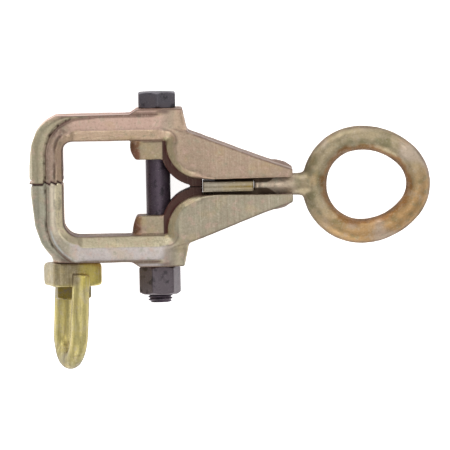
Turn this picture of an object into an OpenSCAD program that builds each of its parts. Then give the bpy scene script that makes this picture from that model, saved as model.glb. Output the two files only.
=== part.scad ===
// Self-tightening two-way pulling clamp for body and frame work.
// It lies on one side: +X is the pull direction, +Y runs up the clamp bolt to its head,
// +Z is up through the thickness, and z = 0 is the surface that it lies on.
// The modules draw it around the clamp bolt: x = 0 is the bolt axis, y = 0 the pull axis.

/* [Jaws] */
// Thickness of both jaws, across the bolt
jaw_t = 50; // [48:0.5:54]
// Distance from the bolt axis to the front wall of the mouth
mouth_len = 61.8; // [58:0.2:66]
// Distance from the pull axis to each mouth surface
mouth_half = 30.8; // [29:0.2:32]
// Distance from the pull axis to the outer surface of each arm
arm_out = 48.2; // [47:0.2:49]
// Thickness of the front column, from the mouth wall to the outer cheek
column_t = 22.2; // [20:0.2:24]
// Height of the bite line above the pull axis
bite_y = 4.7; // [3:0.1:6]
// Distance from the pull axis to each bolt seat
seat_y = 51.7; // [50:0.1:53]
// Distance from the pull axis to the inner end of each bolt boss
boss_in = 18.2; // [17:0.1:20]
// Distance from the bolt axis to the end of the tails
tail_len = 88; // [86:0.5:90]
// Greatest angle that the upper jaw opens, in degrees
jaw_open = 4; // [2:0.5:4]

/* [Clamp bolt] */
// Diameter of the clamp bolt
bolt_d = 16; // [15:0.5:16]
// Width across the flats of its head and nut
bolt_af = 24; // [22:0.5:24]
// Height of its head
bolt_head_h = 10.5; // [9:0.5:13]
// Height of the nut
nut_h = 18.7; // [13:0.1:20]
// Length of thread left below the nut
thread_tip = 5.2; // [3:0.1:12]

/* [Pull ring] */
// Diameter of the ring bar
ring_bar_d = 16; // [14:0.5:18]
// Radius of the bar's centre line round the half of the ring next to the shank
ring_r = 30.5; // [29:0.5:32]
// Radius of the bar's centre line round its far end
ring_end_r = 25; // [22:0.5:27]
// Distance from the ring's centre to the bar's centre line at its far end
ring_reach = 37.4; // [34:0.2:40]
// Distance from the bolt axis to the ring's centre
ring_x = 132.5; // [131:0.1:136]
// Diameter of the shank
shank_d = 14.5; // [12:0.5:15]

/* [Spreader] */
// Length of the spreader plate along the pull axis
plate_len = 32.5; // [30:0.5:34]
// Thickness of the spreader plate
plate_t = 6.9; // [6:0.1:7]
// Diameter of the pin that holds it in the shank's fork
plate_pin_d = 6; // [5:0.5:8]

/* [Swivel eye] */
// Distance from the bolt axis forward to the swivel axis
swivel_x = 57; // [55:0.5:58]
// Width of the swivel block
block_w = 33; // [30:0.5:34]
// Depth of the swivel block
block_d = 30; // [26:0.5:32]
// Height of the swivel block
block_h = 15; // [13:0.5:18]
// Diameter of the eye's bar
eye_bar_d = 11; // [10:0.5:11]
// Drop from the block's seat to the bottom of the eye
eye_drop = 69.6; // [66:0.2:80]
// Width across the flats of the swivel bolt's head
swivel_af = 22; // [20:0.5:22]
// Angle that the eye stands turned at, in degrees
swivel_rest = 18; // [-90:1:90]

/* [Hidden] */
$fn = 96;

mid_z = jaw_t / 2;              // middle of the thickness
far = 200;                      // longer than any jaw, for cutters
running = 0.05;                 // radial clearance of a running fit
gap = 0.3;                      // space between moving faces

bevel = 7;                      // bevel along the mouth surfaces
step = 3;                       // the front cheeks lie this much deeper than the side faces
step_x = -73;                   // where the step stands on the column
face_in = mouth_half + 7.5;     // inner edge of each side face on the arm
edge = 1.4;                     // small chamfer along the outer edges
corner_r_upper = 6;             // mouth corner of the upper jaw
corner_r_lower = 10;            // mouth corner of the lower jaw
jaw_pivot_x = 60;               // where the tails rock on the spreader plate
hole_r = bolt_d / 2 + gap;      // bolt hole in the jaws

flange_t = 8;                   // side walls of the tail channels
web_side = 10;                  // depth of the throat web below each side face
throat_x = 29.3;                // centre and radius of the throat curve
throat_y = 28.5;
throat_r = 23.7;
throat_bevel = 4;
web_x = 27;                     // centre and radius of the web's curve
web_y = 25.2;
web_r = 25.05;
cavity_x0 = 29;                 // start and end of the tail channel
cavity_x1 = 79;
tail_gap0 = 4.8;                // height of the tail's inner edge, front and rear
tail_gap1 = 5.4;
groove_r = 9.9;                 // shank groove in the tail end
hump_r = 16.6;                  // hump over the shank groove

tooth_pitch = 4.4;              // teeth of the bite
tooth_h = 2.2;
teeth_x = -74.7;                // start of the row of teeth
teeth_n = 3;

plate_x0 = 29.8;                // front edge of the spreader plate
plate_z_in = 1.5;               // depth of the plate's ends below the side faces
fork_x0 = 36;                   // start and end of the shank's fork, its width and its height
fork_x1 = 66;
fork_w = 16;
fork_h = 19;
ring_y = -1.1;                  // the ring's centre sits a little below the pull axis
ring_tilt = 1.8;                // and its far end is turned up by this angle

block_r = 5;                    // round corners of the swivel block
swivel_seat = arm_out + 0.1;    // distance from the pull axis to the swivel's seat
swivel_bolt_r = 8;
swivel_head_h = 8.5;
swivel_hole_depth = 13;
eye_mid_r = 18.7;               // radius of the eye bar's centre line
eye_lean = 3;                   // the eye is forged a little askew of its block

// Middle of the footprint, which becomes the origin
x_low = -mouth_len - column_t;
x_high = ring_x + ring_end_r + (ring_reach - ring_end_r) * cos(ring_tilt) + ring_bar_d / 2;
y_low = -swivel_seat - eye_drop - gap;
y_high = seat_y + bolt_head_h;
mid_x = (x_low + x_high) / 2;
mid_y = (y_low + y_high) / 2;

// Moves a piece from the bolt's own coordinates to the part's frame
module placed() {
    translate([-mid_x, -mid_y, 0]) children();
}

// Cylinder along Y from y0 to y1 at x, in the middle of the thickness
module rod_y(x, y0, y1, r0, r1) {
    translate([x, y0, mid_z]) rotate([-90, 0, 0]) cylinder(h = y1 - y0, r1 = r0, r2 = r1);
}

// Cylinder along X from x0 to x1 on the pull axis
module rod_x(x0, x1, r0, r1) {
    translate([x0, 0, mid_z]) rotate([0, 90, 0]) cylinder(h = x1 - x0, r1 = r0, r2 = r1);
}

// Hexagon head or nut along Y, with its corners turned off at both ends
module hex_y(x, y0, y1, af, turn) {
    across_corners = af / cos(30);
    turned = 1.3;
    intersection() {
        translate([x, y0, mid_z]) rotate([-90, 0, 0]) rotate(turn)
            cylinder(h = y1 - y0, d = across_corners, $fn = 6);
        union() {
            rod_y(x, y0, y0 + turned, af / 2, across_corners / 2);
            rod_y(x, y0 + turned, y1 - turned, across_corners / 2, across_corners / 2);
            rod_y(x, y1 - turned, y1, across_corners / 2, af / 2);
        }
    }
}

// Rectangle with round corners, centred
module rounded(w, d, r) {
    square([w - 2 * r, d], center = true);
    square([w, d - 2 * r], center = true);
    for (sx = [-1, 1], sy = [-1, 1])
        translate([sx * (w / 2 - r), sy * (d / 2 - r)]) circle(r);
}

// Half a section, given from one side face inward, completed by its mirror image
function both_sides(half) =
    concat(half, [for (i = [len(half) - 1:-1:0]) [half[i][0], jaw_t - half[i][1]]]);

// Section of the arm: first the height from the pull axis, then the depth
function arm_section() = both_sides([
    [mouth_half, bevel], [face_in, 0], [arm_out - edge, 0], [arm_out, edge]]);

// Sections of the front column: first the distance out from the mouth wall, then the depth
function cheek_section() = both_sides([
    [0, 6], [2.6, step], [16.5, step + 0.4], [20.6, 6.5], [column_t, 12]]);
function raised_section() = both_sides([[0, 6], [5.2, 0], [column_t, 0]]);

module arm(corner_r) {
    start = -mouth_len + corner_r;
    translate([start, 0, 0]) rotate([90, 0, 90])
        linear_extrude(10 - start) polygon(arm_section());
}

// Column and round front corner with one section, cut level with the arm
module front(section, corner_r, foot) {
    top = mouth_half - corner_r;
    translate([-mouth_len, top, 0]) rotate([90, 0, 0])
        linear_extrude(top - foot) mirror([1, 0]) polygon(section);
    intersection() {
        translate([-mouth_len + corner_r, top, 0]) rotate([0, 0, 90])
            rotate_extrude(angle = 90) translate([corner_r, 0]) polygon(section);
        translate([-far, 0, 0]) cube([far, arm_out, jaw_t]);
    }
}

// The front is a cheek with a raised face next to the mouth, whose edge is a curve of radius step_r
module column(corner_r, foot, step_y, step_r) {
    front(cheek_section(), corner_r, foot);
    intersection() {
        front(raised_section(), corner_r, foot);
        linear_extrude(jaw_t) {
            translate([step_x + step_r, step_y]) circle(step_r);
            translate([step_x, -far]) square([far, far + step_y]);
            translate([step_x + step_r, step_y]) square([far, step_r]);
        }
    }
}

// Outer pad that the bolt head or nut bears on
module seat_pad() {
    side = 3;
    translate([0, 0, side]) linear_extrude(jaw_t - 2 * side)
        polygon([[-21, 46], [-13, seat_y], [16.5, seat_y], [19.7, 36.6], [19.7, 35], [10, 35],
                 [10, 40], [-21, 40]]);
}

// Inner boss round the bolt, narrower towards its end
module inner_boss() {
    root = mouth_half + 4;
    intersection() {
        translate([-2.3, boss_in, mid_z]) rotate([-90, 0, 0])
            linear_extrude(root - boss_in) rounded(31, 32, 8);
        linear_extrude(jaw_t)
            polygon([[-14.1, boss_in], [11, boss_in], [13.2, root], [-18.6, root]]);
    }
}

// Solid tail: a round throat with a bevelled edge, then a long taper
module tail_solid() {
    middle = jaw_t - 2 * throat_bevel;
    intersection() {
        translate([throat_x, throat_y, 0]) {
            cylinder(h = throat_bevel, r1 = throat_r - throat_bevel, r2 = throat_r);
            translate([0, 0, throat_bevel]) cylinder(h = middle, r = throat_r);
            translate([0, 0, throat_bevel + middle])
                cylinder(h = throat_bevel, r1 = throat_r, r2 = throat_r - throat_bevel);
        }
        translate([throat_x - throat_r, throat_y - throat_r, 0]) cube([throat_r, throat_r, jaw_t]);
    }
    translate([throat_x - throat_r, throat_y - 1, throat_bevel]) cube([throat_r, 6, middle]);
    linear_extrude(jaw_t) polygon([
        [throat_x - throat_r + throat_bevel, throat_y - 1], [throat_x - 1, throat_y - 1],
        [throat_x - 1, tail_gap0], [tail_len, tail_gap1], [tail_len, 10.8], [85.7, 11.8],
        [67.7, 18], [19.7, 36.6], [throat_x - throat_r + throat_bevel, 39]]);
}

// Deeper web that closes the throat between the side walls
module throat_web() {
    translate([0, 0, web_side]) linear_extrude(jaw_t - 2 * web_side) {
        intersection() {
            translate([web_x, web_y]) circle(web_r);
            translate([web_x - web_r, web_y - web_r]) square(web_r);
        }
        translate([web_x - 2, web_y - web_r]) square([cavity_x0 - web_x + 2, web_r]);
    }
}

module tail() {
    difference() {
        union() {
            tail_solid();
            throat_web();
            difference() {
                union() {
                    rod_x(66, 77, hump_r, hump_r);
                    rod_x(77, 83, hump_r, hump_r - 1.6);
                    rod_x(83, tail_len, hump_r - 1.6, 11.6);
                }
                translate([0, -far, 0]) cube([far, far + tail_gap1, jaw_t]);
            }
        }
        translate([0, 0, flange_t]) linear_extrude(jaw_t - 2 * flange_t)
            polygon([[cavity_x0, -1], [cavity_x1, -1], [cavity_x1, 11.2], [cavity_x0, 26]]);
        rod_x(cavity_x1 - 1, tail_len + 1, groove_r, groove_r);
    }
}

// Cuts that carry the arm's bevel round into the throat, one from each side face
module bevel_turn() {
    wide = face_in - mouth_half;
    for (side = [0, 1])
        translate([throat_x - throat_r, mouth_half, mid_z]) mirror([0, 0, side])
            translate([0, 0, mid_z - bevel]) cylinder(h = bevel + 1, r1 = 0, r2 = wide * (1 + 1 / bevel));
}

// Cuts that slope the end of the arm down to the seat pad, one at each side face
module arm_end() {
    start = 1.5;
    end = 10.5;
    fall = 2.7;
    for (side = [0, 1])
        translate([0, arm_out + 1, mid_z]) mirror([0, 0, side]) rotate([90, 0, 0])
            linear_extrude(arm_out + 1 - 39.3)
                polygon([[start, mid_z], [end, mid_z - fall], [end, mid_z + 1], [start, mid_z + 1]]);
}

// One jaw drawn on the +Y side, with its column cut off square at foot
module jaw_blank(corner_r, foot, step_y, step_r) {
    difference() {
        union() {
            arm(corner_r);
            column(corner_r, foot, step_y, step_r);
            seat_pad();
            inner_boss();
            tail();
        }
        bevel_turn();
        arm_end();
    }
}

// Line of the bite, seen from the side face: a plain land in front, then teeth from x to the mouth
function bite_line(x, y) = concat([[-far, y - tooth_h / 2], [x, y - tooth_h / 2]],
    [for (i = [0:teeth_n - 1], end = [0, 1])
        [x + (i + end) * tooth_pitch, y + (0.5 - end) * tooth_h]],
    [[0, y - tooth_h / 2]]);

module lower_jaw() {
    color("darkkhaki") placed() difference() {
        mirror([0, 1, 0]) union() {
            intersection() {
                jaw_blank(corner_r_lower, -bite_y - tooth_h, 20.8, 30.7);
                linear_extrude(jaw_t) polygon([[-82.8, -far], [-83.2, 3], [-82.1, 12], [-80.7, 24],
                    [-77, 34.8], [-73.5, 40], [-69.9, 44.4], [-68.6, far], [far, far], [far, -far]]);
            }
            rod_y(-swivel_x, arm_out - 6, swivel_seat, 14, 13);
        }
        linear_extrude(jaw_t)
            polygon(concat(bite_line(teeth_x + gap, bite_y - 1.5 * gap),
                           [[0, mouth_half], [-far, mouth_half]]));
        linear_extrude(jaw_t) {
            polygon([[-86, bite_y - 7], [-86, bite_y], [-81, bite_y]]);
            polygon([[-60, bite_y - 4], [-60, bite_y + 3], [-67, bite_y + 3]]);
        }
        rod_y(0, -far, 0, hole_r, hole_r);
        rod_y(-swivel_x, -far, -swivel_seat + swivel_hole_depth, swivel_bolt_r + running,
              swivel_bolt_r + running);
    }
}

module upper_jaw() {
    color("rosybrown") placed() difference() {
        intersection() {
            jaw_blank(corner_r_upper, bite_y - tooth_h, 22.6, 24.2);
            linear_extrude(jaw_t) polygon([[-84, -far], [-84, 14], [-83.6, 22], [-82.2, 30],
                [-79.2, 37.8], [-76, 42], [-72.2, 45.2], [-67, 47.8], [-64, far], [far, far],
                [far, -far]]);
        }
        linear_extrude(jaw_t)
            polygon(concat(bite_line(teeth_x, bite_y), [[0, -mouth_half], [-far, -mouth_half]]));
        linear_extrude(jaw_t) {
            polygon([[-86, bite_y], [-86, bite_y + 3], [-79, bite_y]]);
            polygon([[-60, bite_y + 2.5], [-60, bite_y - 3], [-65.5, bite_y - 3]]);
        }
        // The hole is wide enough for the bolt to stay upright while the jaw opens
        for (angle = [0, jaw_open / 2, jaw_open])
            translate([jaw_pivot_x, 0, 0]) rotate([0, 0, angle]) translate([-jaw_pivot_x, 0, 0])
                rod_y(0, 0, far, hole_r, hole_r);
    }
}

module clamp_bolt() {
    tip = seat_y + nut_h + thread_tip;
    color("dimgray") placed() {
        hex_y(0, seat_y, y_high, bolt_af, 32);
        rod_y(0, -tip + edge, seat_y, bolt_d / 2, bolt_d / 2);
        rod_y(0, -tip, -tip + edge, bolt_d / 2 - edge, bolt_d / 2);
    }
}

module clamp_nut() {
    color("dimgray") placed() difference() {
        hex_y(0, -seat_y - nut_h, -seat_y, bolt_af, 10);
        rod_y(0, -far, 0, bolt_d / 2 + running, bolt_d / 2 + running);
    }
}

// Bar bent to an arc about [x, y], from angle a to angle b, a little short of the joins
module bar_arc(x, y, r, a, b) {
    short = 0.6;
    translate([x, y, 0]) rotate([0, 0, a + short]) rotate_extrude(angle = b - a - 2 * short)
        translate([r, 0]) circle(d = ring_bar_d, $fn = 48);
}

// Short length of bar that joins two arcs, at distance r and that angle from [x, 0]
module bar_join(x, r, angle) {
    swell = 0.1;
    long = 1.6;
    translate([x, 0, 0]) rotate([0, 0, angle]) translate([r, -long / 2, 0]) rotate([-90, 0, 0])
        cylinder(h = long, d = ring_bar_d + swell, $fn = 48);
}

// Egg-shaped ring: a half circle, a smaller arc at the far end, and two flatter arcs tangent to both
module ring_bar() {
    end_x = ring_reach - ring_end_r;
    fall = ring_r - ring_end_r;
    k = (end_x * end_x - fall * fall) / (2 * fall);
    join = atan2(k, end_x);
    bar_arc(0, 0, ring_r, 90, 270);
    bar_arc(end_x, 0, ring_end_r, -join, join);
    bar_arc(0, -k, ring_r + k, join, 90);
    bar_arc(0, k, ring_r + k, -90, -join);
    for (side = [-1, 1]) {
        bar_join(0, ring_r, side * 90);
        bar_join(end_x, ring_end_r, side * join);
    }
}

// Ring, shank and the fork that takes the spreader plate, one forging
module pull_ring() {
    ring_left = ring_x - ring_r;
    color("peru") placed() {
        translate([ring_x, ring_y, mid_z]) rotate([0, 0, ring_tilt]) ring_bar();
        rod_x(fork_x1 - 1, ring_left, shank_d / 2, shank_d / 2);
        rod_x(ring_left - 10, ring_left - 2, shank_d / 2, ring_bar_d / 2 + 1);
        difference() {
            translate([fork_x0, -fork_h / 2, mid_z - fork_w / 2])
                cube([fork_x1 - fork_x0, fork_h, fork_w]);
            translate([0, -plate_t / 2 - running, 0])
                cube([plate_x0 + plate_len + gap, plate_t + 2 * running, jaw_t]);
            rod_y(plate_x0 + plate_len / 2, -far, far, plate_pin_d / 2 + running,
                  plate_pin_d / 2 + running);
        }
    }
}

module spreader_plate() {
    rim = 0.6;
    depth = jaw_t - 2 * plate_z_in;
    color("khaki") placed() difference() {
        translate([plate_x0, 0, mid_z]) rotate([0, 90, 0])
            linear_extrude(plate_len) rounded(depth, plate_t, rim);
        rod_y(plate_x0 + plate_len / 2, -far, far, plate_pin_d / 2 + running,
              plate_pin_d / 2 + running);
    }
}

module spreader_pin() {
    color("gray") placed()
        rod_y(plate_x0 + plate_len / 2, -fork_h / 2, fork_h / 2, plate_pin_d / 2, plate_pin_d / 2);
}

// Block and closed eye, one forging that turns under the lower jaw
module swivel_eye() {
    top = -swivel_seat - gap;
    leg = eye_drop - block_h / 2 - eye_mid_r - eye_bar_d / 2;
    color("goldenrod") placed() difference() {
        translate([-swivel_x, 0, mid_z]) rotate([0, swivel_rest, 0]) {
            translate([0, top - block_h, 0]) rotate([-90, 0, 0])
                linear_extrude(block_h) rounded(block_w, block_d, block_r);
            translate([0, top - block_h / 2, 0]) rotate([0, 0, -eye_lean]) {
                for (side = [-1, 1])
                    translate([0, -leg, side * eye_mid_r]) rotate([-90, 0, 0])
                        cylinder(h = leg, d = eye_bar_d, $fn = 48);
                translate([0, -leg, 0]) rotate([0, 90, 0]) rotate([0, 0, 180])
                    rotate_extrude(angle = 180) translate([eye_mid_r, 0])
                        circle(d = eye_bar_d, $fn = 48);
            }
        }
        rod_y(-swivel_x, top - block_h - 1, top + 1, swivel_bolt_r + running, swivel_bolt_r + running);
    }
}

module swivel_bolt() {
    head_top = -swivel_seat - block_h - 2 * gap;
    color("dimgray") placed() {
        hex_y(-swivel_x, head_top - swivel_head_h, head_top, swivel_af, 39);
        rod_y(-swivel_x, head_top - 2, -swivel_seat + swivel_hole_depth - 1, swivel_bolt_r,
              swivel_bolt_r);
    }
}

lower_jaw();
upper_jaw();
clamp_bolt();
clamp_nut();
pull_ring();
spreader_plate();
spreader_pin();
swivel_eye();
swivel_bolt();
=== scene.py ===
"""Looks of the self-tightening pulling clamp: forged zinc-plated jaws, ring and side eye, black bolts.

Sizes are in mm, in the clamp's own coordinates, except where a name or a comment says metres.
"""

import math
from types import SimpleNamespace

import bpy
import numpy as np
from mathutils import Matrix, Vector

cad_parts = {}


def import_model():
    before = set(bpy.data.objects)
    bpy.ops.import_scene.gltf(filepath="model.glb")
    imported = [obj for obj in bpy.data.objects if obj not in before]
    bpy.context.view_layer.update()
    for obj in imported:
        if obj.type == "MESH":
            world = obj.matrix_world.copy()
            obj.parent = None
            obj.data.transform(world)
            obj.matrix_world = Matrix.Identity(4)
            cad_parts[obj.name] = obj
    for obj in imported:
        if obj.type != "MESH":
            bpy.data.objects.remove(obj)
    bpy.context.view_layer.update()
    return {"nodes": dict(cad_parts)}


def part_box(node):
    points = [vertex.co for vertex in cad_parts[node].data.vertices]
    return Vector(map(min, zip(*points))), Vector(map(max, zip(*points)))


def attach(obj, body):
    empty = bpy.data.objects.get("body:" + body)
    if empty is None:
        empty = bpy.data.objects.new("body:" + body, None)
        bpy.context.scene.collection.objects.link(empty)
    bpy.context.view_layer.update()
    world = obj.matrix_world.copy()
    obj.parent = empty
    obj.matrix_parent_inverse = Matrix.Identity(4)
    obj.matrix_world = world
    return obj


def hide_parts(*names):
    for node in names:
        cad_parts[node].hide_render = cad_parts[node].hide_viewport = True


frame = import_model()

MM = 0.001

# The clamp's own coordinates: x from the bolt's axis, y from the pull axis, z from the middle of the
# thickness. They are read from the CAD boxes.
nut_low, nut_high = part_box("clamp_nut")
upper_low, upper_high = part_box("upper_jaw")
lower_low, lower_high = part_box("lower_jaw")
CENTRE = np.array(
    [
        (nut_low.x + nut_high.x) / 2,
        (upper_high.y + lower_low.y) / 2,
        (upper_low.z + upper_high.z) / 2,
    ]
)

# The upper jaw's shape, as in the CAD. The lower jaw's is its mirror image.
HALF_T = (upper_high.z - upper_low.z) / 2 / MM  # half the thickness
SEAT_Y = (upper_high.y - lower_low.y) / 2 / MM  # seat of the bolt's head
FACE_ZONE = HALF_T - 9  # the skin under the side faces starts here
MOUTH_LEN = 61.8  # bolt axis to the column's inner wall
MOUTH_HALF = 30.8  # pull axis to the arm's inner wall
BITE_Y = 4.7  # middle height of the teeth
BITE_END = -58  # the bite lies in front of this x
TEETH_X = -74.7  # the plain land ends and the teeth start here
TOOTH_PITCH = 4.4
TOOTH_H = 2.2
THROAT_X, THROAT_Y, THROAT_R = 29.3, 28.5, 23.7  # round opening behind the bolt
BEVEL_FALL = 0.85  # depth of the throat's bevel for each mm of its width
STEP_X = -73  # outer edge of the column's raised face
BOSS_END = 17.5  # inner end of the bolt boss
BOSS_HALF = 17.5  # half the width of the bolt boss
SHANK_R = 8.0  # M16
THREAD_PITCH = 2.0
THREAD_DEPTH = 1.15


def local(co):
    """Frame points in metres to the clamp's own coordinates in mm."""
    return (co - CENTRE) / MM


def world(p):
    """The clamp's own coordinates in mm to frame points in metres."""
    return np.asarray(p, float) * MM + CENTRE


def box_mm(node):
    low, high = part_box(node)
    return local(np.array(low)), local(np.array(high))


def linear(r, g, b):
    """A display colour of 0 to 255 as linear light."""
    c = np.array([r, g, b], float) / 255
    return np.where(c < 0.04045, c / 12.92, ((c + 0.055) / 1.055) ** 2.4)


def ramp(value, low, high):
    """0 at low, 1 at high, and smooth in between. low may be the larger one."""
    t = np.clip((np.asarray(value, float) - low) / (high - low), 0, 1)
    return t * t * (3 - 2 * t)


def blend(a, b, t):
    return a + (b - a) * t


def tint(tone, colour, amount):
    """Tone moved towards a colour, by an amount for each point."""
    return blend(tone, colour, amount[:, None])


def line_at(distance, width):
    """1 on a line and falling to 0 beside it, from how far points lie from it."""
    return np.exp(-((distance / width) ** 2))


def noise(p, size, seed):
    """Smooth noise from about -1 to 1 at points p, with features of that size."""
    q = p / size
    cell = np.floor(q).astype(np.int64)
    f = q - cell
    f = f * f * (3 - 2 * f)
    total = np.zeros(len(p))
    for dx in (0, 1):
        for dy in (0, 1):
            for dz in (0, 1):
                h = (
                    (cell[:, 0] + dx) * 73856093
                    ^ (cell[:, 1] + dy) * 19349663
                    ^ (cell[:, 2] + dz) * 83492791
                    ^ seed * 2654435761
                )
                h = ((h ^ (h >> 13)) * 1274126177) & 0x7FFFFFFF
                h = ((h ^ (h >> 16)) * 668265263) & 0x7FFFFFFF
                value = (h % 65536) / 32767.5 - 1
                wx = f[:, 0] if dx else 1 - f[:, 0]
                wy = f[:, 1] if dy else 1 - f[:, 1]
                wz = f[:, 2] if dz else 1 - f[:, 2]
                total += value * wx * wy * wz
    return total


# ---------------------------------------------------------------- meshes


def mesh_points(mesh):
    co = np.empty(len(mesh.vertices) * 3, np.float32)
    mesh.vertices.foreach_get("co", co)
    return co.reshape(-1, 3).astype(float)


def mesh_edges(mesh):
    edges = np.empty(len(mesh.edges) * 2, np.int32)
    mesh.edges.foreach_get("vertices", edges)
    return edges.reshape(-1, 2)


def mesh_normals(mesh):
    out = np.empty(len(mesh.vertices) * 3, np.float32)
    mesh.vertex_normals.foreach_get("vector", out)
    return out.reshape(-1, 3).astype(float)


def set_points(mesh, co):
    mesh.vertices.foreach_set("co", co.astype(np.float32).ravel())
    mesh.update()


def neighbour_count(p, edges):
    return np.maximum(np.bincount(edges.ravel(), minlength=len(p)), 1)


def neighbour_mean(values, edges, count):
    out = np.empty_like(values)
    first, second = edges.T
    for axis in range(values.shape[1]):
        total = np.bincount(first, values[second, axis], len(values))
        total = total + np.bincount(second, values[first, axis], len(values))
        out[:, axis] = total / count
    return out


def relax(p, edges, amount, steps):
    """Rounds a surface: each step moves points towards the mean of their neighbours."""
    count = neighbour_count(p, edges)
    for _ in range(steps):
        p = p + (neighbour_mean(p, edges, count) - p) * amount[:, None]
    return p


def skin_of(node, name, voxel):
    """A new closed mesh over a CAD node, with points about voxel mm apart."""
    source = frame["nodes"][node]
    piece = bpy.data.objects.new(name, source.data.copy())
    bpy.context.scene.collection.objects.link(piece)
    piece.data.materials.clear()
    remesh = piece.modifiers.new("skin", "REMESH")
    remesh.mode = "VOXEL"
    remesh.voxel_size = voxel * MM
    depsgraph = bpy.context.evaluated_depsgraph_get()
    skin = bpy.data.meshes.new_from_object(piece.evaluated_get(depsgraph))
    piece.modifiers.clear()
    old = piece.data
    piece.data = skin
    bpy.data.meshes.remove(old)
    skin.name = name
    return piece


def grid_piece(name, rings, close):
    """A mesh through rings of points, each ring a closed loop. close joins the last ring to the first."""
    rows, turns = rings.shape[0], rings.shape[1]
    index = np.arange(rows * turns).reshape(rows, turns)
    faces = []
    last = rows if close else rows - 1
    for i in range(last):
        a, b = index[i], index[(i + 1) % rows]
        faces.extend(np.column_stack([a, b, np.roll(b, -1), np.roll(a, -1)]).tolist())
    if not close:
        faces.append(index[0].tolist())
        faces.append(index[-1][::-1].tolist())
    mesh = bpy.data.meshes.new(name)
    mesh.from_pydata(world(rings.reshape(-1, 3)).tolist(), [], faces)
    mesh.update()
    piece = bpy.data.objects.new(name, mesh)
    bpy.context.scene.collection.objects.link(piece)
    return piece


def store_floats(mesh, name, values):
    attribute = mesh.attributes.new(name, "FLOAT", "POINT")
    attribute.data.foreach_set("value", values.astype(np.float32))


def finish_piece(piece, node, body, material, tone, extra=None):
    """Stores tone, bend and any extra values on the points, gives the material, and rides on the body.

    bend is positive on convex edges and negative in hollows.
    """
    mesh = piece.data
    mesh.shade_smooth()
    p = local(mesh_points(mesh))
    edges = mesh_edges(mesh)
    count = neighbour_count(p, edges)
    lift = ((p - neighbour_mean(p, edges, count)) * mesh_normals(mesh)).sum(1)
    spacing = np.linalg.norm(p[edges[:, 0]] - p[edges[:, 1]], axis=1).mean()
    bend = lift / (spacing * spacing)
    bend = relax(bend[:, None], edges, np.full(len(p), 0.6), 3)[:, 0]
    colour = np.ones((len(p), 4), np.float32)
    colour[:, :3] = tone
    attribute = mesh.attributes.new("tone", "FLOAT_COLOR", "POINT")
    attribute.data.foreach_set("color", colour.ravel())
    store_floats(mesh, "bend", np.clip(bend, -1, 1))
    for name, values in (extra or {}).items():
        store_floats(mesh, name, values)
    mesh.materials.append(material)
    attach(piece, body)
    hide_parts(node)


# ---------------------------------------------------------------- materials


class Shader:
    """A small helper that adds and links the nodes of one material."""

    def __init__(self, name, metallic):
        self.material = bpy.data.materials.new(name)
        self.material.use_nodes = True
        self.tree = self.material.node_tree
        self.bsdf = principled(self.tree)
        self.bsdf.inputs["Metallic"].default_value = metallic
        self.place = self.add("ShaderNodeTexCoord").outputs["Object"]

    def add(self, kind, **settings):
        node = self.tree.nodes.new(kind)
        for key, value in settings.items():
            setattr(node, key, value)
        return node

    def link(self, source, target):
        self.tree.links.new(source, target)

    def feed(self, socket, value):
        """Sets a socket to a number or a colour, or links it to another socket."""
        if isinstance(value, (int, float)):
            socket.default_value = value
        elif isinstance(value, (tuple, np.ndarray)):
            socket.default_value = (*[float(v) for v in value], 1.0)
        else:
            self.link(value, socket)

    def attribute(self, name, output="Fac"):
        return self.add("ShaderNodeAttribute", attribute_name=name).outputs[output]

    def stretched(self, x, y, z):
        """The place on the piece, stretched, for streaks."""
        node = self.add("ShaderNodeVectorMath", operation="MULTIPLY")
        self.link(self.place, node.inputs[0])
        node.inputs[1].default_value = (x, y, z)
        return node.outputs[0]

    def noise(self, size, detail=3.0, rough=0.55, place=None):
        """Noise from 0 to 1 with features of that size in mm."""
        node = self.add("ShaderNodeTexNoise")
        self.link(place or self.place, node.inputs["Vector"])
        node.inputs["Scale"].default_value = 1000 / size
        node.inputs["Detail"].default_value = detail
        node.inputs["Roughness"].default_value = rough
        return node.outputs["Fac"]

    def scale(self, source, low, high, to_low=0.0, to_high=1.0):
        """The source's range from low to high, smoothly changed to another range."""
        node = self.add("ShaderNodeMapRange", interpolation_type="SMOOTHSTEP")
        self.link(source, node.inputs["Value"])
        node.inputs["From Min"].default_value = low
        node.inputs["From Max"].default_value = high
        node.inputs["To Min"].default_value = to_low
        node.inputs["To Max"].default_value = to_high
        return node.outputs["Result"]

    def math(self, operation, a, b):
        node = self.add("ShaderNodeMath", operation=operation)
        self.feed(node.inputs[0], a)
        self.feed(node.inputs[1], b)
        return node.outputs[0]

    def mix(self, a, b, factor):
        """Colour a mixed towards colour b."""
        node = self.add("ShaderNodeMix", data_type="RGBA", blend_type="MIX")
        self.feed(node.inputs[6], a)
        self.feed(node.inputs[7], b)
        self.feed(node.inputs[0], factor)
        return node.outputs[2]

    def bump(self, height, distance, strength=1.0, below=None):
        """A normal raised by height over that distance in mm, on top of another normal."""
        node = self.add("ShaderNodeBump")
        node.inputs["Strength"].default_value = strength
        node.inputs["Distance"].default_value = distance * MM
        self.link(height, node.inputs["Height"])
        if below is not None:
            self.link(below, node.inputs["Normal"])
        return node.outputs["Normal"]


def principled(tree):
    return next(n for n in tree.nodes if n.type == "BSDF_PRINCIPLED")


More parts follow.
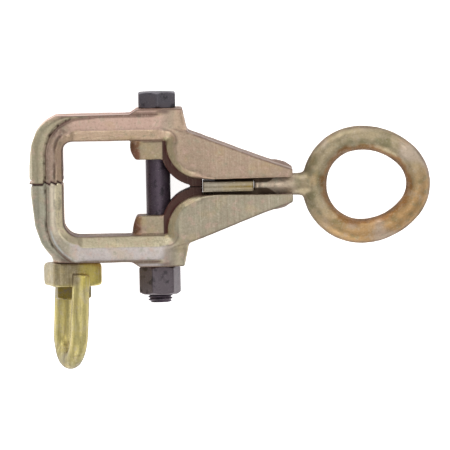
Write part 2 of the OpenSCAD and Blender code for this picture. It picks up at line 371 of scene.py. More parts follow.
def zinc(name, roughness, gold, pink, dirt_and_shade, mottle, streaks):
    """Yellow-zinc plate over a forged surface: clouded tint, worn edges with a painted highlight, painted
    shade in the hollows, fine pits, and dirt and painted shade from the stored values.
    """
    metallic = 0.55
    olive = (0.27, 0.27, 0.18)
    soot = (0.05, 0.035, 0.025)
    fleck = (0.80, 0.72, 0.60)
    worn_edge_highlight = (0.70, 0.62, 0.50)
    crease_shade = (0.045, 0.022, 0.014)
    s = Shader(name, metallic)
    bend = s.attribute("bend")
    grime_and_shade = s.attribute("grime_and_shade")
    cloud = s.noise(16, 3)
    patch = s.noise(5.5, 4, 0.6)
    grain = s.noise(1.3, 3, 0.7)
    colour = s.mix(s.attribute("tone", "Color"), gold, s.scale(cloud, 0.52, 0.72, 0, 0.30))
    colour = s.mix(colour, pink, s.scale(patch, 0.52, 0.70, 0, 0.45))
    colour = s.mix(colour, olive, s.scale(patch, 0.47, 0.30, 0, mottle))
    colour = s.mix(colour, soot, s.scale(grain, 0.48, 0.30, 0, 0.22))
    colour = s.mix(colour, fleck, s.scale(grain, 0.54, 0.72, 0, 0.22))
    # Convex edges lighter: wear, and a painted highlight on the rounded edges.
    colour = s.mix(colour, worn_edge_highlight, s.scale(bend, 0.14, 0.45, 0, 0.30))
    # Hollows darker: painted shade.
    colour = s.mix(colour, crease_shade, s.scale(bend, -0.07, -0.38, 0, 0.72))
    # The stored values bring in dirt and painted shade.
    colour = s.mix(colour, dirt_and_shade, grime_and_shade)
    normal = s.bump(s.noise(7, 2), 0.55, 0.5)
    normal = s.bump(s.noise(1.6, 4, 0.65), 0.28, 0.7, normal)
    if streaks:
        ground = s.attribute("ground")
        brushed = s.noise(1.1, 3, 0.6, s.stretched(1.0, 0.045, 0.3))
        normal = s.bump(s.math("MULTIPLY", brushed, ground), 0.10, 0.9, normal)
        light = s.math("MULTIPLY", s.scale(brushed, 0.52, 0.74), ground)
        dark = s.math("MULTIPLY", s.scale(brushed, 0.46, 0.28), ground)
        colour = s.mix(colour, (0.78, 0.68, 0.52), s.math("MULTIPLY", light, 0.30))
        colour = s.mix(colour, (0.16, 0.10, 0.06), s.math("MULTIPLY", dark, 0.34))
    s.link(colour, s.bsdf.inputs["Base Color"])
    s.bsdf.inputs["Specular IOR Level"].default_value = 0.2
    s.link(s.scale(grime_and_shade, 0, 1, metallic, 0.0), s.bsdf.inputs["Metallic"])
    rough = s.scale(patch, 0.25, 0.75, roughness - 0.07, roughness + 0.09)
    s.link(s.math("ADD", rough, s.scale(grime_and_shade, 0.2, 1, 0, 0.3)), s.bsdf.inputs["Roughness"])
    s.link(normal, s.bsdf.inputs["Normal"])
    return s.material


def black_oxide():
    """Oiled black bolts: near-black with a violet cast, rubbed bright on corners and thread crests, with
    painted shade in the hollows.
    """
    violet = (0.13, 0.11, 0.12)
    oil = (0.012, 0.010, 0.012)
    dust = (0.26, 0.24, 0.23)
    rubbed = (0.34, 0.31, 0.30)
    crease_shade = (0.006, 0.004, 0.004)
    s = Shader("oiled_black_oxide", 0.55)
    bend = s.attribute("bend")
    cloud = s.noise(6, 4, 0.6)
    grain = s.noise(0.7, 3, 0.7)
    colour = s.mix(s.attribute("tone", "Color"), violet, s.scale(cloud, 0.52, 0.72, 0, 0.6))
    colour = s.mix(colour, oil, s.scale(cloud, 0.48, 0.34, 0, 0.7))
    colour = s.mix(colour, dust, s.scale(grain, 0.56, 0.70, 0, 0.6))
    colour = s.mix(colour, rubbed, s.scale(bend, 0.12, 0.55, 0, 0.6))
    # Hollows and thread roots darker: painted shade.
    colour = s.mix(colour, crease_shade, s.scale(bend, -0.1, -0.6, 0, 0.8))
    s.link(colour, s.bsdf.inputs["Base Color"])
    s.link(s.scale(cloud, 0.25, 0.75, 0.36, 0.56), s.bsdf.inputs["Roughness"])
    normal = s.bump(cloud, 0.25, 0.4)
    s.link(s.bump(grain, 0.10, 0.5, normal), s.bsdf.inputs["Normal"])
    return s.material


def turned_steel():
    """Plain turned steel pin: grey with fine rings and a little brown haze."""
    grey = (0.42, 0.40, 0.37)
    brown = (0.22, 0.15, 0.10)
    s = Shader("turned_plain_steel", 0.9)
    rings = s.noise(0.5, 2, 0.6, s.stretched(0.2, 1.0, 0.2))
    haze = s.noise(4, 3)
    s.link(s.mix(grey, brown, s.scale(haze, 0.5, 0.8, 0, 0.5)), s.bsdf.inputs["Base Color"])
    s.link(s.scale(haze, 0.3, 0.7, 0.3, 0.5), s.bsdf.inputs["Roughness"])
    s.link(s.bump(rings, 0.04, 0.6), s.bsdf.inputs["Normal"])
    return s.material


MAROON = (0.060, 0.016, 0.016)
BROWN = (0.075, 0.036, 0.014)
jaw_plate = zinc(
    "jaw_yellow_zinc",
    roughness=0.42,
    gold=linear(190, 162, 112),
    pink=linear(206, 172, 156),
    dirt_and_shade=MAROON,
    mottle=0.45,
    streaks=True,
)
ring_plate = zinc(
    "ring_golden_zinc",
    roughness=0.45,
    gold=linear(182, 142, 88),
    pink=linear(186, 170, 148),
    dirt_and_shade=BROWN,
    mottle=0.40,
    streaks=False,
)
eye_plate = zinc(
    "eye_bright_zinc",
    roughness=0.40,
    gold=linear(205, 178, 96),
    pink=linear(200, 186, 160),
    dirt_and_shade=BROWN,
    mottle=0.18,
    streaks=True,
)
bar_plate = zinc(
    "bar_pale_zinc",
    roughness=0.34,
    gold=linear(150, 126, 44),
    pink=linear(130, 120, 106),
    dirt_and_shade=BROWN,
    mottle=0.2,
    streaks=True,
)
black = black_oxide()
steel = turned_steel()

# ---------------------------------------------------------------- jaws

UPPER = SimpleNamespace(
    node="upper_jaw",
    name="upper_jaw_forging",
    side=1,
    corner=6,  # radius of the mouth's front corner
    step_y=22.6,  # the raised face's outer edge is straight below this, and then round
    step_r=24.2,
    crease=0.8,
    hammered=1,
    swell=1.9,  # bulge of the bolt boss
    flat=linear(196, 165, 149),
    slope=linear(200, 174, 148),
    cheek=linear(172, 161, 134),
    tail=linear(170, 147, 126),
    rib=linear(154, 132, 116),
    # The next three values set painted light on the column, a painted highlight along the outer crease,
    # and painted shade in the creases.
    lift=0.05,
    ridge_highlight=0,
    crevice=1,
    brushed=0.5,
)
LOWER = SimpleNamespace(
    node="lower_jaw",
    name="lower_jaw_forging",
    side=-1,
    corner=10,
    step_y=20.8,
    step_r=30.7,
    crease=0.3,
    hammered=0,
    swell=0.9,
    flat=linear(192, 182, 177),
    slope=linear(190, 180, 152),
    cheek=linear(168, 163, 143),
    tail=linear(162, 151, 130),
    rib=linear(158, 148, 130),
    # The next three values set painted light on the column, a painted highlight along the outer crease,
    # and painted shade in the creases.
    lift=0.9,
    ridge_highlight=1,
    crevice=0.6,
    brushed=0.8,
)


def mouth_place(x, y, corner):
    """How far points lie outside the mouth's outline, and how far round the front corner: 0 on the
    column, 1 on the arm."""
    dx = -MOUTH_LEN + corner - x
    dy = y - (MOUTH_HALF - corner)
    inside = (dx > 0) & (dy > 0)
    straight = np.where(dy <= 0, -MOUTH_LEN - x, y - MOUTH_HALF)
    out = np.where(inside, np.hypot(dx, dy) - corner, straight)
    turn = np.where(inside, np.arctan2(dy, dx) / (math.pi / 2), np.where(dy <= 0, 0.0, 1.0))
    return out, turn


def bite_line(x):
    """Height of the bite at x: a plain land in front, then teeth that fall towards the mouth."""
    tooth = TOOTH_H / 2 - (x - TEETH_X) / TOOTH_PITCH % 1 * TOOTH_H
    return BITE_Y + np.where(x < TEETH_X, -TOOTH_H / 2, tooth)


def throat_radius(x, y):
    return np.hypot(x - THROAT_X, y - THROAT_Y)


def throat_bevel(x, y):
    """Width of the bevel round the throat, and how far points lie from the throat's edge."""
    turned = np.degrees(np.arctan2(THROAT_Y - y, THROAT_X - x)) / 90
    width = blend(6.8, 1.8, ramp(turned, -0.1, 0.9)) * ramp(x, THROAT_X, THROAT_X - 8)
    above = np.hypot(np.minimum(x - (THROAT_X - THROAT_R), 40), y - MOUTH_HALF)
    return width, np.where(turned < 0, above, THROAT_R - throat_radius(x, y))


def past_step(x, y, jaw):
    """How far points lie outside the curved edge of the raised face: positive on the cheek."""
    dx = x - (STEP_X + jaw.step_r)
    dy = y - jaw.step_y
    curved = np.where(dx > 0, dy - jaw.step_r, np.hypot(dx, dy) - jaw.step_r)
    return np.where(dy < 0, STEP_X - x, curved)


def cut_throat_bevel(p):
    """The bevel round the throat leaves the arm as wide as the arm's own and narrows to the plate."""
    x, y, z = p.T
    depth = HALF_T - np.abs(z)
    width, inside = throat_bevel(x, y)
    throat = (x > 4) & (x < THROAT_X) & (y < MOUTH_HALF + 8)
    cut = np.where(throat, np.clip(width - inside, 0, width), 0) * BEVEL_FALL
    p[:, 2] -= np.sign(z) * np.clip(cut - depth, 0, None) * (depth < 7.5)


def soften_edges(p, edges, bore, jaw):
    """Soft forged edges, with the bored, cut and toothed places left sharp. The shoulder behind the
    bolt and the end of the throat's bevel are softer still."""
    x, y = p[:, 0], p[:, 1]
    amount = np.full(len(p), 0.55)
    amount *= ramp(np.abs(y - BITE_Y * jaw.side), 1.6, 4.5) * (x < BITE_END) + (x >= BITE_END)
    amount *= np.where((bore < 12) & (np.abs(y) > 15), ramp(bore, 8.6, 11.5), 1)
    p = relax(p, edges, np.clip(amount, 0.03, 1), 9)
    x, y, z = p.T
    shoulder = ramp(x, -1, 3) * ramp(x, 21, 15) * ramp(y, 31, 36) * ramp(y, 50.5, 48.5)
    throat_end = ramp(x, 20, 26) * ramp(x, 37, 31) * ramp(y, 13, 9)
    softer = np.maximum(shoulder, throat_end) * ramp(np.abs(z), 17, 20)
    return relax(p, edges, softer * 0.8, 45)


def swell_boss(p, jaw):
    """The bolt boss bulges a little towards the mouth."""
    x, y, z = p.T
    up = np.clip((y - BOSS_END) / (MOUTH_HALF - BOSS_END), 0, 1)
    width = ramp(np.abs(z), BOSS_HALF + 1, BOSS_HALF - 1)
    p[:, 0] -= np.sin(math.pi * up) * ramp(x, -8.5, -11) * (x > -25) * width * jaw.swell


def square_webs(p):
    """The webs meet squarely in front of the spreader plate."""
    x, y, z = p.T
    blunt = ramp(x, 20.0, 21.0) * ramp(x, 30, 28) * ramp(y, 3.2, 1.4) * (np.abs(z) < HALF_T - 8)
    p[:, 1] = blend(y, np.minimum(y, 0.1), blunt)


def column_marks(p, jaw):
    """The creases of the front column, which run round the corner and die out on the arm."""
    x, y, z = p.T
    q = np.column_stack([x, y * jaw.side, z])
    out, turn = mouth_place(x, y, jaw.corner)
    near = (x < -MOUTH_LEN + 22) & (np.abs(z) > FACE_ZONE)
    wander = noise(q, 14, 3) * 0.5 + noise(q, 5, 4) * 0.25
    inner = blend(5.0, 7.4, ramp(turn, 0.1, 1.0)) + wander
    past = past_step(x, y, jaw) + wander * 0.4
    fade_in = 1 - ramp(x, -MOUTH_LEN + 2, -MOUTH_LEN + 16)
    fade_out = 1 - ramp(x, -MOUTH_LEN + 6, -MOUTH_LEN + 26)
    broken = ramp(noise(q, 5, 6), -0.5, 0.3)
    groove_in = line_at(out - inner, 0.9) * fade_in * broken * jaw.crease
    groove_out = line_at(past - 0.1, 1.0) * 0.8 * fade_out
    rib = line_at(past + 3.6, 1.8) * -0.25 * fade_in
    pits = np.clip(noise(q, 1.7, 9) - 0.25, 0, 1) * (groove_in + groove_out) * 1.3
    hammered = ramp(turn, 0.25, 0.45) * ramp(turn, 1.0, 0.85) * ramp(out, 2, 4) * ramp(out, 13, 11)
    hammered = hammered * jaw.hammered * ramp(noise(q, 2.4, 17), 0.0, 0.5)
    # Painted shade in the creases, with the hammer marks a little darker.
    dark = np.clip(groove_in / 0.9 + groove_out, 0, 1) * near * (0.45 + 0.35 * noise(q, 3, 13))
    return SimpleNamespace(
        near=near,
        out=out,
        past=past,
        from_crease=out - inner,
        dent=(groove_in + groove_out + rib + pits + hammered * 0.38) * near,
        dark=dark * jaw.crevice + hammered * near * 0.12,
    )


def roughness_of(p, bore, jaw):
    """1 on the forging's skin, and 0 on the bite, the seats and the bores."""
    x, y = p[:, 0], p[:, 1]
    rough = ramp(np.abs(y - BITE_Y * jaw.side), 1.2, 3) * (x < BITE_END) + (x >= BITE_END)
    return rough * np.where((bore < 11) & (np.abs(y) > 15), 0, 1)


def surface_of(p, normals, jaw):
    """Where each point lies and which way it faces. face is 1 on flat side faces, upright 1 on walls
    across the thickness, and wall 1 on the outer walls."""
    x, y = p[:, 0], p[:, 1] * jaw.side
    level = np.abs(normals[:, 2])
    outward = normals[:, 1] * jaw.side
    return SimpleNamespace(
        x=x,
        y=y,
        z=np.abs(p[:, 2]),
        level=level,
        outward=outward,
        face=ramp(level, 0.80, 0.97),
        upright=1 - ramp(level, 0.2, 0.6),
        wall=ramp(outward, 0.4, 0.8),
        radius=throat_radius(x, y),
        blotch=noise(p, 20, 31) * 0.5 + noise(p, 8, 32) * 0.3,
    )


def jaw_tone(at, normals, marks, jaw):
    """Tone of each region, with painted light on the column's inner band, a painted highlight along the
    lower jaw's outer crease, and painted shade on the boss's flank.
    """
    x, y, z = at.x, at.y, at.z
    tone = tint(jaw.slope, linear(142, 116, 96), at.upright)
    arm = ramp(x, -66, -52) * (1 - ramp(x, 2, 12)) * at.face
    tone = tint(tone, jaw.flat, arm)
    tone = tint(tone, jaw.cheek, ramp(marks.past, -0.4, 0.6) * (x < -45))
    rib = ramp(marks.from_crease, -0.5, 0.5) * ramp(marks.past, 0.2, -0.8) * ramp(x, -54, -62)
    tone = tint(tone, jaw.rib, rib)
    # Painted light: the column's inner band brightened, strongly on the lower jaw.
    column = ramp(x, -52, -58) * ramp(y, MOUTH_HALF + 2, MOUTH_HALF - 6) * ramp(marks.past, 0, -4)
    tone = tone * (1 + jaw.lift * column)[:, None]
    # Painted highlight along the lower jaw's outer crease.
    ridge_highlight = line_at(marks.past + 1.6, 0.8) * marks.near * ramp(y, 22, 30) * at.face * jaw.ridge_highlight
    tone = tint(tone, linear(214, 218, 214), ridge_highlight * 0.9)
    shoulder = ramp(x, 1, 5) * ramp(x, 14, 10) * ramp(y, 36, 40) * (1 - at.upright)
    tone = tint(tone, linear(158, 143, 126), shoulder * 0.6)
    rear = ramp(x, 8, 18) * ramp(at.level, 0.7, 0.95)
    tone = tint(tone, jaw.tail, rear)
    throat = ramp(at.radius, 18.5, 20) * ramp(x, THROAT_X - 1, 14) * (y < 33) * (x > 4)
    throat = throat * (1 - at.face) * (1 - at.upright)
    tone = tint(tone, linear(186, 170, 136), throat)
    wall_tone = tint(linear(214, 172, 152), jaw.tail, ramp(x, 0, 10))
    tone = tint(tone, wall_tone, at.wall * ramp(z, 25, 12))
    boss = (y < MOUTH_HALF + 1) & (x > -24) & (x < 14) & (z < BOSS_HALF)
    boss = boss * ramp(y, MOUTH_HALF + 0.5, MOUTH_HALF - 0.8)
    tone = tint(tone, linear(162, 147, 119), boss * 0.9)
    # Painted shade on the boss's flank that turns away from the light.
    boss_flank_shade = boss * np.maximum(ramp(x, -10.2, -12.4), ramp(-normals[:, 0], 0.1, 0.3))
    tone = tint(tone, linear(130, 84, 64), boss_flank_shade * 0.9)
    return np.clip(tone * (1 + 0.12 * at.blotch[:, None]), 0, 1)


def outer_wall_darkening(p, at):
    """Darkening on the outer walls, at the parting line and more towards the tail, and painted shade
    along the edges beside the side faces.
    """
    x, y = at.x, at.y
    from_middle = at.z + noise(p, 5, 33) * 1.5 + noise(p, 1.8, 34) * 0.8
    parting = ramp(from_middle, 4, 1.5) * 0.75
    wall_darkening = ramp(from_middle, 16, 3) * 0.35 + blend(0.2, 0.5, ramp(x, 4, 16))
    wall_darkening = np.clip(wall_darkening * (1 + 0.6 * at.blotch), 0, 0.62)
    # Painted shade along the edges of the arm's walls.
    arm_edge = ramp(from_middle, 15, 20) * ramp(x, 12, 0) * 0.8
    wall = at.wall * np.maximum.reduce([parting, arm_edge, wall_darkening])
    away_from_shoulder = 1 - ramp(x, -4, 2) * ramp(x, 25, 21) * ramp(y, 50, 47)
    # Painted shade on the rounded edges beside the side faces.
    face_edge = ramp(at.outward, 0.12, 0.4) * ramp(from_middle, 13, 21) * 0.62
    clean_front = ramp(x + noise(p, 6, 35) * 5, -76, -62)
    return np.maximum(wall, face_edge * away_from_shoulder) * clean_front


def jaw_dirt_and_shade(p, at, marks):
    """Dirt and painted shade: painted shade in the throat, the tail channel, the creases and the bite, on
    the mouth's walls and along the face's edges, and darkening on the outer walls.
    """
    x, y, z = at.x, at.y, at.z
    # Painted shade in the hollows of the throat and the tail channel.
    in_throat = (at.radius > THROAT_R - 1) & (x < 30)
    in_channel = (y < 27) & (x >= 30)
    hollow = (z < HALF_T - 8.5) * (1 - at.wall) * (x > 3) * (x < 84) * (in_throat | in_channel)
    # Painted shade along the bite, where the jaws meet.
    bite = ramp(np.abs(p[:, 1] - bite_line(x)), 1.3, 0.4) * (x < BITE_END)
    # Painted shade on the walls across the thickness, and a dark painted line along the mouth's edge.
    rim = at.upright * ramp(z, HALF_T - 7, HALF_T - 4) * 0.5
    mouth_wall = at.upright * ramp(marks.out, 1.6, 0.6) * (x < 4) * (0.55 + 0.2 * at.blotch)
    lip = ramp(marks.out, 1.3, 0.3) * (x < 4) * (z > FACE_ZONE)
    lip = lip * blend(0.5, 0.85, ramp(x, -52, -58))
    # Painted shade in the creases at the shoulder and along the throat's bevel.
    crease_y = 39.5 - 0.29 * (x - 7)
    shoulder = line_at(y - crease_y, 0.6) * ramp(x, 7, 14) * ramp(x, 22, 20) * 0.45
    width, inside = throat_bevel(x, y)
    fold = line_at(width - inside, 0.55) * ramp(x, 3, 7) * ramp(y, 24, 34) * 0.42
    folds = (shoulder + fold * (y < MOUTH_HALF + 8)) * (1 - at.upright)
    dark = np.clip(marks.dark, 0, 0.8)
    outside = outer_wall_darkening(p, at)
    return np.maximum.reduce([hollow * 0.9, bite * 0.9, dark, rim, mouth_wall, lip, folds, outside])


def forged_jaw(jaw):
    """One jaw. The lower one is shaped in its mirrored place and then mirrored back."""
    piece = skin_of(jaw.node, jaw.name, 0.6)
    mesh = piece.data
    edges = mesh_edges(mesh)
    p = local(mesh_points(mesh))
    p[:, 1] *= jaw.side
    cut_throat_bevel(p)
    bore = np.hypot(p[:, 0], p[:, 2])
    p = soften_edges(p, edges, bore, jaw)
    swell_boss(p, jaw)
    square_webs(p)
    marks = column_marks(p, jaw)
    z = p[:, 2]
    p[:, 2] -= np.sign(z) * marks.dent * ramp(np.abs(z), FACE_ZONE, FACE_ZONE + 4)
    rough = roughness_of(p, bore, jaw)
    p[:, 1] *= jaw.side
    set_points(mesh, world(p))
    normals = mesh_normals(mesh)
    swell = noise(p, 11, 21) * 0.14 + noise(p, 4.5, 22) * 0.07 + noise(p, 2.0, 23) * 0.03 - 0.17
    p = p + normals * (swell * rough)[:, None]
    set_points(mesh, world(p))
    at = surface_of(p, normals, jaw)
    ground = ramp(at.x, 16, 26) * at.face * jaw.brushed
    ground = ground + 0.5 * ramp(at.level, 0.3, 0.6) * (1 - at.face)
    extra = {"ground": ground, "grime_and_shade": jaw_dirt_and_shade(p, at, marks)}
    tone = jaw_tone(at, normals, marks, jaw)
    finish_piece(piece, jaw.node, jaw.node, jaw_plate, tone, extra)


forged_jaw(UPPER)
forged_jaw(LOWER)

# ---------------------------------------------------------------- ring and side eye

ring_low, ring_high = box_mm("pull_ring")
RING_R = (ring_high[1] - ring_low[1]) / 2
RING_MID = np.array([ring_high[0] - RING_R - 1, (ring_low[1] + ring_high[1]) / 2])
eye_low, eye_high = box_mm("swivel_eye")
swivel_low, swivel_high = box_mm("swivel_bolt")
EYE_BOTTOM, EYE_TOP = eye_low[1], eye_high[1]
EYE_X = (swivel_low[0] + swivel_high[0]) / 2
BLOCK_END = EYE_TOP - 17  # the eye's block ends and its loop starts here


def forged_piece(
    node,
    name,
    material,
    voxel,
    steps,
    tone_of,
    grime_and_shade_of,
    keep_of=None,
    soft_of=None,
    streak=0.0,
    fuller=0.0,
):
    """A forging whose form is the CAD solid, with its junctions rounded together. fuller is how far
    its skin is let out, in mm."""
    piece = skin_of(node, name, voxel)
    mesh = piece.data
    edges = mesh_edges(mesh)
    p = local(mesh_points(mesh))
    amount = np.full(len(p), 0.55) if keep_of is None else keep_of(p)
    p = relax(p, edges, amount, steps)
    if soft_of is not None:
        p = relax(p, edges, soft_of(p) * 0.7, 40)
    set_points(mesh, world(p))
    normals = mesh_normals(mesh)
    swell = noise(p, 12, 41) * 0.12 + noise(p, 4, 42) * 0.06 + noise(p, 1.8, 43) * 0.03
    swell = (swell + fuller) * np.minimum(1, amount / 0.4)
    p = p + normals * swell[:, None]
    set_points(mesh, world(p))
    tone = np.clip(tone_of(p, normals), 0, 1)
    extra = {"ground": np.full(len(p), streak), "grime_and_shade": grime_and_shade_of(p, normals)}
    finish_piece(piece, node, node, material, tone, extra)


def ring_tone(p, normals):
    """Blotched gold, stronger at the lower right, with painted shade on the inner wall and painted light
    on the shank.
    """
    blotch = noise(p, 24, 51) * 0.5 + noise(p, 9, 52) * 0.35
    fine = noise(p, 3.5, 54)
    lean = (p[:, 0] - RING_MID[0]) * 0.5 - (p[:, 1] - RING_MID[1])
    tone = np.tile(linear(168, 152, 122), (len(p), 1))
    tone = tint(tone, linear(186, 142, 88), ramp(lean, -10, 30) * 0.75)
    tone = tint(tone, linear(184, 166, 152), ramp(blotch, 0.0, 0.35) * 0.65)
    tone = tint(tone, linear(128, 124, 84), ramp(blotch + fine * 0.3, -0.1, -0.5) * 0.55)
    # Painted shade: browner where the surface faces the ring's middle.
    away = p[:, :2] - RING_MID - [3, 0]
    facing = (away * normals[:, :2]).sum(1) / np.linalg.norm(away, axis=1)
    tone = tint(tone, linear(150, 98, 44), ramp(facing + 0.2 * fine, -0.35, -0.75) * 0.7)
    # Painted light: a pale shank, which the painted shade leaves bright only along its crest.
    tone = tint(tone, linear(248, 226, 200), ramp(p[:, 0], 96, 80))
    return tone * (1 + 0.18 * blotch + 0.14 * fine)[:, None]


def ring_painted_shade(p, normals):
    """Painted shade: dark edges where the surface turns sideways, and a shank shaded between the tails
    but for its crest.
    """
    patchy = 0.8 + 0.35 * noise(p, 5, 53)
    # Painted shade on the edges where the surface turns sideways.
    edge = ramp(np.abs(normals[:, 2]), 0.80, 0.38) * 0.72 * patchy
    # Painted shade on the shank's sides between the tails, with the crest left bright.
    crest = 1.6 + 8 * ramp(p[:, 0], 70, 84)
    shank = ramp(np.abs(p[:, 1]) - crest, -0.3, 0.5) * ramp(p[:, 0], 86, 82)
    return np.clip(np.maximum(edge, shank * 0.9), 0, 0.95)


def eye_tone(p, _normals):
    """Pale yellow on the loop and darker at its tip, with a brown and a golden side on the block."""
    blotch = noise(p, 14, 61) * 0.5 + noise(p, 6, 62) * 0.35
    block = ramp(p[:, 1], BLOCK_END, BLOCK_END + 5)
    side = ramp(p[:, 0], EYE_X + 2, EYE_X + 8)
    tip = ramp(p[:, 1], EYE_BOTTOM + 20, EYE_BOTTOM + 3)
    block_tone = tint(linear(154, 140, 107), linear(204, 187, 100), side)
    tone = tint(linear(202, 188, 122), block_tone, block)
    return tone * (1 + 0.14 * blotch - 0.56 * tip)[:, None]


def eye_shade_and_streaks(p, normals):
    """Painted shade on the loop's sides, and dark streaks along the loop."""
    loop = ramp(p[:, 1], BLOCK_END + 3, BLOCK_END)
    # Painted shade on the loop's sides.
    edge = ramp(np.abs(normals[:, 2]), 0.45, 0.1) * 0.5
    streak = ramp(noise(p * [1, 0.10, 1], 1.3, 63), 0.0, 0.6) * 0.3
    return np.clip((edge + streak) * loop, 0, 0.8)


def eye_keep(p):
    """How much each point is rounded: hardly at all at the block's bore."""
    bore = np.hypot(p[:, 0] - EYE_X, p[:, 2])
    near = (p[:, 1] > BLOCK_END) & (bore < 11)
    return np.where(near, 0.05 + 0.5 * ramp(bore, 8.6, 11), 0.55)


def eye_corners(p):
    """The block's outer corners, which are more rounded than the rest."""
    return ramp(np.abs(p[:, 0] - EYE_X), 12.5, 15) * ramp(p[:, 1], BLOCK_END - 1, BLOCK_END + 1)


forged_piece(
    "pull_ring",
    "pull_ring_forging",
    ring_plate,
    voxel=0.6,
    steps=12,
    tone_of=ring_tone,
    grime_and_shade_of=ring_painted_shade,
)
forged_piece(
    "swivel_eye",
    "side_eye_forging",
    eye_plate,
    voxel=0.5,
    steps=14,
    tone_of=eye_tone,
    grime_and_shade_of=eye_shade_and_streaks,
    keep_of=eye_keep,
    soft_of=eye_corners,
    streak=0.9,
    fuller=0.3,
)

# ---------------------------------------------------------------- spreader plate


def spreader():
    """Flat bar with small dressed edges, a little longer towards the webs. The hidden pin ends in it."""
    extra_length, edge, squareness = 0.7, 0.9, 40
    rows, turns = 62, 96
    low, high = box_mm("spreader_plate")
    low[0] -= extra_length
    size, mid = high - low, (high + low) / 2
    half_z, half_y = size[2] / 2, size[1] / 2
    angle = np.linspace(0, 2 * math.pi, turns, endpoint=False)
    c, s = np.cos(angle), np.sin(angle)
    r = (np.abs(c) / half_z) ** squareness + (np.abs(s) / half_y) ** squareness
    shape = np.column_stack([c, s]) * (r ** (-1 / squareness))[:, None]
    rounding = np.array([0, 0.08, 0.25, 0.5, edge])
    middle = np.linspace(1.6, size[0] - 1.6, rows)
    rings = []
    for x in np.concatenate([rounding, middle, size[0] - rounding[::-1]]):
        from_end = min(x, size[0] - x, edge)
        inset = edge - math.sqrt(max(edge**2 - (edge - from_end) ** 2, 0))
        zy = shape * [(half_z - inset) / half_z, (half_y - inset) / half_y]
        place = [np.full(turns, low[0] + x), mid[1] + zy[:, 1], mid[2] + zy[:, 0]]
        rings.append(np.column_stack(place))
    piece = grid_piece("spreader_bar", np.array(rings), False)
    x = local(mesh_points(piece.data))[:, 0]
    tone = tint(linear(110, 101, 82), linear(118, 95, 16), ramp(x, low[0] + 4, high[0] - 2))
    # Painted shade that dims the highlight on the bar's rounded ends.
    end_shade = ramp(np.minimum(x - low[0], high[0] - x), 1.8, 0.8)
    extra = {"ground": np.full(len(x), 0.3), "grime_and_shade": end_shade * 0.25}
    finish_piece(piece, "spreader_plate", "pull_ring", bar_plate, tone, extra)


spreader()

# ---------------------------------------------------------------- bolts and nut


def hexagon(angle, flats, turn):
    """Distance to a hexagon's edge at each angle, with its corners just softened."""
    sharpness = 70
    total = np.zeros_like(angle)
    for k in range(6):
        total += np.maximum(np.cos(angle - turn - k * math.pi / 3), 1e-6) ** sharpness
    return flats / 2 * total ** (-1 / sharpness)


def lathe(name, x, steps, flats, turn, close):
    """A turned piece about the axis along y at x. Each step is (y, radius, kind): kind "hex" is cut to
    the hexagon, turned by that many degrees, and kind "thread" carries the thread."""
    angle = np.linspace(0, 2 * math.pi, 144, endpoint=False)
    hexagonal = hexagon(angle, flats, math.radians(turn))
    rings = []
    for y, radius, kind in steps:
        r = np.full(len(angle), float(radius))
        if kind == "hex":
            r = -np.log(np.exp(-6 * r) + np.exp(-6 * hexagonal)) / 6
        if kind == "thread":
            phase = (y / THREAD_PITCH + angle / (2 * math.pi)) % 1
            r = r - THREAD_DEPTH * np.clip(np.abs(phase - 0.5) * 2 * 1.25 - 0.12, 0, 1)
        place = [x + r * np.cos(angle), np.full(len(angle), y), r * np.sin(angle)]
        rings.append(np.column_stack(place))
    return grid_piece(name, np.array(rings), close)


def dense(start, stop, step):
    """Values from start to stop, about that far apart."""
    count = max(int(round(abs(stop - start) / step)), 1)
    return np.linspace(start, stop, count + 1)


def head_steps(inner, outer, flats, seat_r):
    """Rings over a hexagon head, from the middle of its dished outer face to the seat."""
    away = 1 if outer > inner else -1
    dish, rim = 0.5, flats * 0.468
    steps = [(outer - away * dish, r, "round") for r in (0.2, 3, flats * 0.30)]
    for t in (0.35, 0.12):
        steps.append((outer - away * t, flats * 0.34 + (dish - t) * 1.4, "round"))
    steps += [(outer, r, "round") for r in dense(flats * 0.385, rim, 0.5)]
    steps += [(outer - away * t, rim + t * 1.8, "hex") for t in dense(0.05, 2.4, 0.18)]
    steps += [(y, flats * 0.6, "hex") for y in dense(outer - away * 2.6, inner + away * 0.8, 0.5)]
    steps += [(inner + away * t, flats * 0.50 + t * 2.6, "hex") for t in dense(0.7, 0.05, 0.16)]
    steps += [(inner, r, "hex") for r in dense(flats * 0.49, seat_r, 0.8)]
    return steps


def clamp_bolt():
    """Hexagon bolt with a dished head, a plain shank and a thread that runs out at the tip."""
    thread_start = -50
    low, high = box_mm("clamp_bolt")
    tip = low[1]
    steps = head_steps(SEAT_Y, high[1], 24, SHANK_R)
    steps += [(y, SHANK_R, "round") for y in dense(SEAT_Y - 0.3, thread_start + 1, 1.5)]
    steps.append((thread_start, SHANK_R, "thread"))
    for y in dense(thread_start - 0.2, tip, 0.16):
        steps.append((y, min(SHANK_R, 6.7 + max(y - tip, 0)), "thread"))
    steps += [(tip, r, "round") for r in (5.2, 3, 0.2)]
    piece = lathe("clamp_bolt_turned", 0, steps, 24, -2, False)
    on_head = local(mesh_points(piece.data))[:, 1] > SEAT_Y - 0.2
    tone = np.where(on_head[:, None], linear(94, 90, 97), linear(84, 70, 82))
    finish_piece(piece, "clamp_bolt", "clamp_bolt", black, tone)


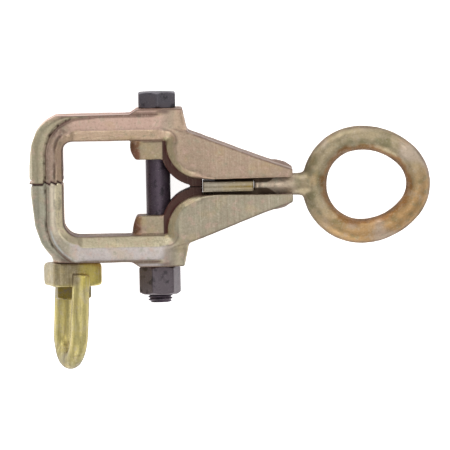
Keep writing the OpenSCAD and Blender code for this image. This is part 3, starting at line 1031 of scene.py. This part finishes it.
def clamp_nut():
    """Tall nut, chamfered at both ends, with a plain bore that clears the thread."""
    low, high = box_mm("clamp_nut")
    bottom, top = low[1], high[1]
    bore, wide, rim, slope = 8.06, 15.0, 11.3, 1.75
    steps = [(top, r, "hex") for r in dense(9.0, 11.2, 0.6)]
    steps += [(top - t, rim + t * slope, "hex") for t in dense(0.05, 2.6, 0.18)]
    steps += [(y, wide, "hex") for y in dense(top - 2.8, bottom + 2.8, 0.6)]
    steps += [(bottom + t, rim + t * slope, "hex") for t in dense(2.6, 0.05, 0.18)]
    steps += [(bottom, r, "hex") for r in dense(11.2, 9.0, 0.6)]
    steps.append((bottom + 0.9, bore, "round"))
    steps += [(y, bore, "round") for y in dense(bottom + 1.5, top - 1.5, 2)]
    steps.append((top - 0.9, bore, "round"))
    piece = lathe("clamp_nut_turned", 0, steps, 24, 20, True)
    tone = np.tile(linear(100, 90, 95), (len(piece.data.vertices), 1))
    finish_piece(piece, "clamp_nut", "clamp_nut", black, tone)


def swivel_bolt():
    """Bolt whose head shows inside the side eye. Its shank is hidden in the block and the jaw."""
    low, high = box_mm("swivel_bolt")
    seat = low[1] + 8.5
    steps = head_steps(seat, low[1], 22, SHANK_R)
    steps += [(y, SHANK_R, "round") for y in dense(seat + 0.3, high[1] - 1, 1.5)]
    steps += [(high[1], r, "round") for r in (7.0, 3, 0.2)]
    piece = lathe("swivel_bolt_turned", EYE_X, steps[::-1], 22, -9, False)
    tone = np.tile(linear(128, 110, 38), (len(piece.data.vertices), 1))
    finish_piece(piece, "swivel_bolt", "lower_jaw", black, tone)


clamp_bolt()
clamp_nut()
swivel_bolt()

pin = frame["nodes"]["spreader_pin"]
pin.data.materials.clear()
pin.data.materials.append(steel)

# ---------------------------------------------------------------- floor, light and camera, in metres


def floor():
    r = 6.0
    mesh = bpy.data.meshes.new("studio_floor")
    mesh.from_pydata([(-r, -r, 0), (r, -r, 0), (r, r, 0), (-r, r, 0)], [], [(0, 1, 2, 3)])
    piece = bpy.data.objects.new("studio_floor", mesh)
    bpy.context.scene.collection.objects.link(piece)
    paint = bpy.data.materials.new("pale_floor")
    paint.use_nodes = True
    bsdf = principled(paint.node_tree)
    bsdf.inputs["Base Color"].default_value = (0.93, 0.93, 0.93, 1)
    bsdf.inputs["Roughness"].default_value = 0.9
    bsdf.inputs["Emission Color"].default_value = (1, 1, 1, 1)
    bsdf.inputs["Emission Strength"].default_value = 0.85
    mesh.materials.append(paint)


def soft_light(name, place, size, power, colour=(1, 1, 1)):
    """A round area light that shines on the clamp."""
    lamp = bpy.data.lights.new(name, "AREA")
    lamp.shape = "DISK"
    lamp.size = size
    lamp.energy = power
    lamp.color = colour
    piece = bpy.data.objects.new(name, lamp)
    bpy.context.scene.collection.objects.link(piece)
    piece.location = place
    piece.rotation_mode = "QUATERNION"
    piece.rotation_quaternion = (-Vector(place)).to_track_quat("-Z", "Y")


def sky():
    """Even, faintly blue light from all round."""
    world_light = bpy.data.worlds.new("studio")
    world_light.use_nodes = True
    background = world_light.node_tree.nodes["Background"]
    background.inputs["Color"].default_value = (0.95, 0.97, 1.0, 1)
    background.inputs["Strength"].default_value = 0.42
    bpy.context.scene.world = world_light


def camera():
    """Looks down on the clamp as it lies on its side, from 3 degrees towards the bolt's head."""
    target = Vector((-0.0038, 0.0019, 0.025))
    distance, field, sensor = 6.0, 0.2943, 36
    lean, roll = math.radians(3.0), math.radians(1.1)
    back = Vector((0, math.sin(lean), math.cos(lean)))
    right = Vector((math.cos(roll), -math.sin(roll), 0))
    right = (right - back * right.dot(back)).normalized()
    up = back.cross(right)
    data = bpy.data.cameras.new("camera")
    data.sensor_width = sensor
    data.lens = sensor * distance / field
    data.clip_start, data.clip_end = 0.05, 20
    piece = bpy.data.objects.new("camera", data)
    bpy.context.scene.collection.objects.link(piece)
    turn = Matrix((right, up, back)).transposed().to_4x4()
    piece.matrix_world = Matrix.Translation(target + back * distance) @ turn
    bpy.context.scene.camera = piece


floor()
soft_light("key_light", (0.9, 0.9, 1.0), 0.8, 5, (1, 0.985, 0.96))
soft_light("front_light", (-0.45, -1.3, 0.6), 1.0, 8)
soft_light("back_light", (-0.5, 1.4, 0.5), 0.9, 7)
soft_light("top_light", (0.15, 0.2, 2.2), 1.7, 11)
sky()
bpy.context.scene.view_settings.view_transform = "Standard"
camera()
